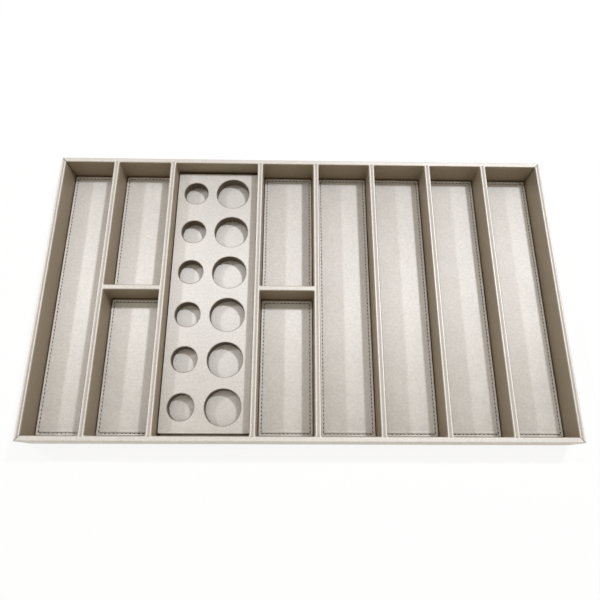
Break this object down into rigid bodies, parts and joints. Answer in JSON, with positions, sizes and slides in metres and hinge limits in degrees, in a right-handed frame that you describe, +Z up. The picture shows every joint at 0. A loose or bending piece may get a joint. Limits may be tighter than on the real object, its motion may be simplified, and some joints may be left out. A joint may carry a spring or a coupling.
{
  "type": "minibar tray",
  "caption": "Shallow leatherette-wrapped drawer tray with divided bays, stitched lift-out mats and a rack bored for miniature bottles and slim cans.",
  "frame": {"origin": "on the ground under the middle of the tray", "axes": "+X along the tray's length, to the right seen from the front; +Y from front to back; +Z up"},
  "size_m": [0.83, 0.474, 0.052],
  "materials": {
    "frame_leatherette": "pale greige leatherette, fine grain, satin",
    "mat_leatherette": "pale greige leatherette, fine grain, stitched border",
    "rack_leatherette": "pale greige leatherette, fine grain, satin",
    "rack_board": "dark greige painted fibreboard, matt",
    "core_board": "dark raw hardboard",
    "backing_felt": "dark felt",
    "seam_thread": "dark brown sewing thread"
  },
  "bodies": {
    "tray": {"backing_felt": "backing_felt", "base_board": "core_board", "front_wall_board": "core_board", "front_wall_cover": "frame_leatherette", "back_wall_board": "core_board", "back_wall_cover": "frame_leatherette", "left_wall_board": "core_board", "left_wall_cover": "frame_leatherette", "right_wall_board": "core_board", "right_wall_cover": "frame_leatherette", "divider_1_board": "core_board", "divider_1_cover": "frame_leatherette", "divider_2_board": "core_board", "divider_2_cover": "frame_leatherette", "divider_3_board": "core_board", "divider_3_cover": "frame_leatherette", "divider_4_board": "core_board", "divider_4_cover": "frame_leatherette", "divider_5_board": "core_board", "divider_5_cover": "frame_leatherette", "divider_6_board": "core_board", "divider_6_cover": "frame_leatherette", "divider_7_board": "core_board", "divider_7_cover": "frame_leatherette", "cross_divider_1_board": "core_board", "cross_divider_1_cover": "frame_leatherette", "cross_divider_2_board": "core_board", "cross_divider_2_cover": "frame_leatherette", "mat_3_board": "core_board", "mat_3_cover": "mat_leatherette"},
    "bottle_insert": {"bottle_insert_board": "rack_board", "bottle_insert_cover": "rack_leatherette"},
    "mat_1": {"mat_1_board": "core_board", "mat_1_cover": "mat_leatherette", "mat_1_thread": "seam_thread"},
    "mat_2_rear": {"mat_2_rear_board": "core_board", "mat_2_rear_cover": "mat_leatherette", "mat_2_rear_thread": "seam_thread"},
    "mat_2_front": {"mat_2_front_board": "core_board", "mat_2_front_cover": "mat_leatherette", "mat_2_front_thread": "seam_thread"},
    "mat_4_rear": {"mat_4_rear_board": "core_board", "mat_4_rear_cover": "mat_leatherette", "mat_4_rear_thread": "seam_thread"},
    "mat_4_front": {"mat_4_front_board": "core_board", "mat_4_front_cover": "mat_leatherette", "mat_4_front_thread": "seam_thread"},
    "mat_5": {"mat_5_board": "core_board", "mat_5_cover": "mat_leatherette", "mat_5_thread": "seam_thread"},
    "mat_6": {"mat_6_board": "core_board", "mat_6_cover": "mat_leatherette", "mat_6_thread": "seam_thread"},
    "mat_7": {"mat_7_board": "core_board", "mat_7_cover": "mat_leatherette", "mat_7_thread": "seam_thread"},
    "mat_8": {"mat_8_board": "core_board", "mat_8_cover": "mat_leatherette", "mat_8_thread": "seam_thread"}
  },
  "joints": [
    {"name": "bottle_insert_lift", "type": "slide", "parent": "tray", "child": "bottle_insert", "axis": [0, 0, 1], "range_m": [0, 0.06]},
    {"name": "mat_1_lift", "type": "slide", "parent": "tray", "child": "mat_1", "axis": [0, 0, 1], "range_m": [0, 0.06]},
    {"name": "mat_2_rear_lift", "type": "slide", "parent": "tray", "child": "mat_2_rear", "axis": [0, 0, 1], "range_m": [0, 0.06]},
    {"name": "mat_2_front_lift", "type": "slide", "parent": "tray", "child": "mat_2_front", "axis": [0, 0, 1], "range_m": [0, 0.06]},
    {"name": "mat_4_rear_lift", "type": "slide", "parent": "tray", "child": "mat_4_rear", "axis": [0, 0, 1], "range_m": [0, 0.06]},
    {"name": "mat_4_front_lift", "type": "slide", "parent": "tray", "child": "mat_4_front", "axis": [0, 0, 1], "range_m": [0, 0.06]},
    {"name": "mat_5_lift", "type": "slide", "parent": "tray", "child": "mat_5", "axis": [0, 0, 1], "range_m": [0, 0.06]},
    {"name": "mat_6_lift", "type": "slide", "parent": "tray", "child": "mat_6", "axis": [0, 0, 1], "range_m": [0, 0.06]},
    {"name": "mat_7_lift", "type": "slide", "parent": "tray", "child": "mat_7", "axis": [0, 0, 1], "range_m": [0, 0.06]},
    {"name": "mat_8_lift", "type": "slide", "parent": "tray", "child": "mat_8", "axis": [0, 0, 1], "range_m": [0, 0.06]}
  ]
}
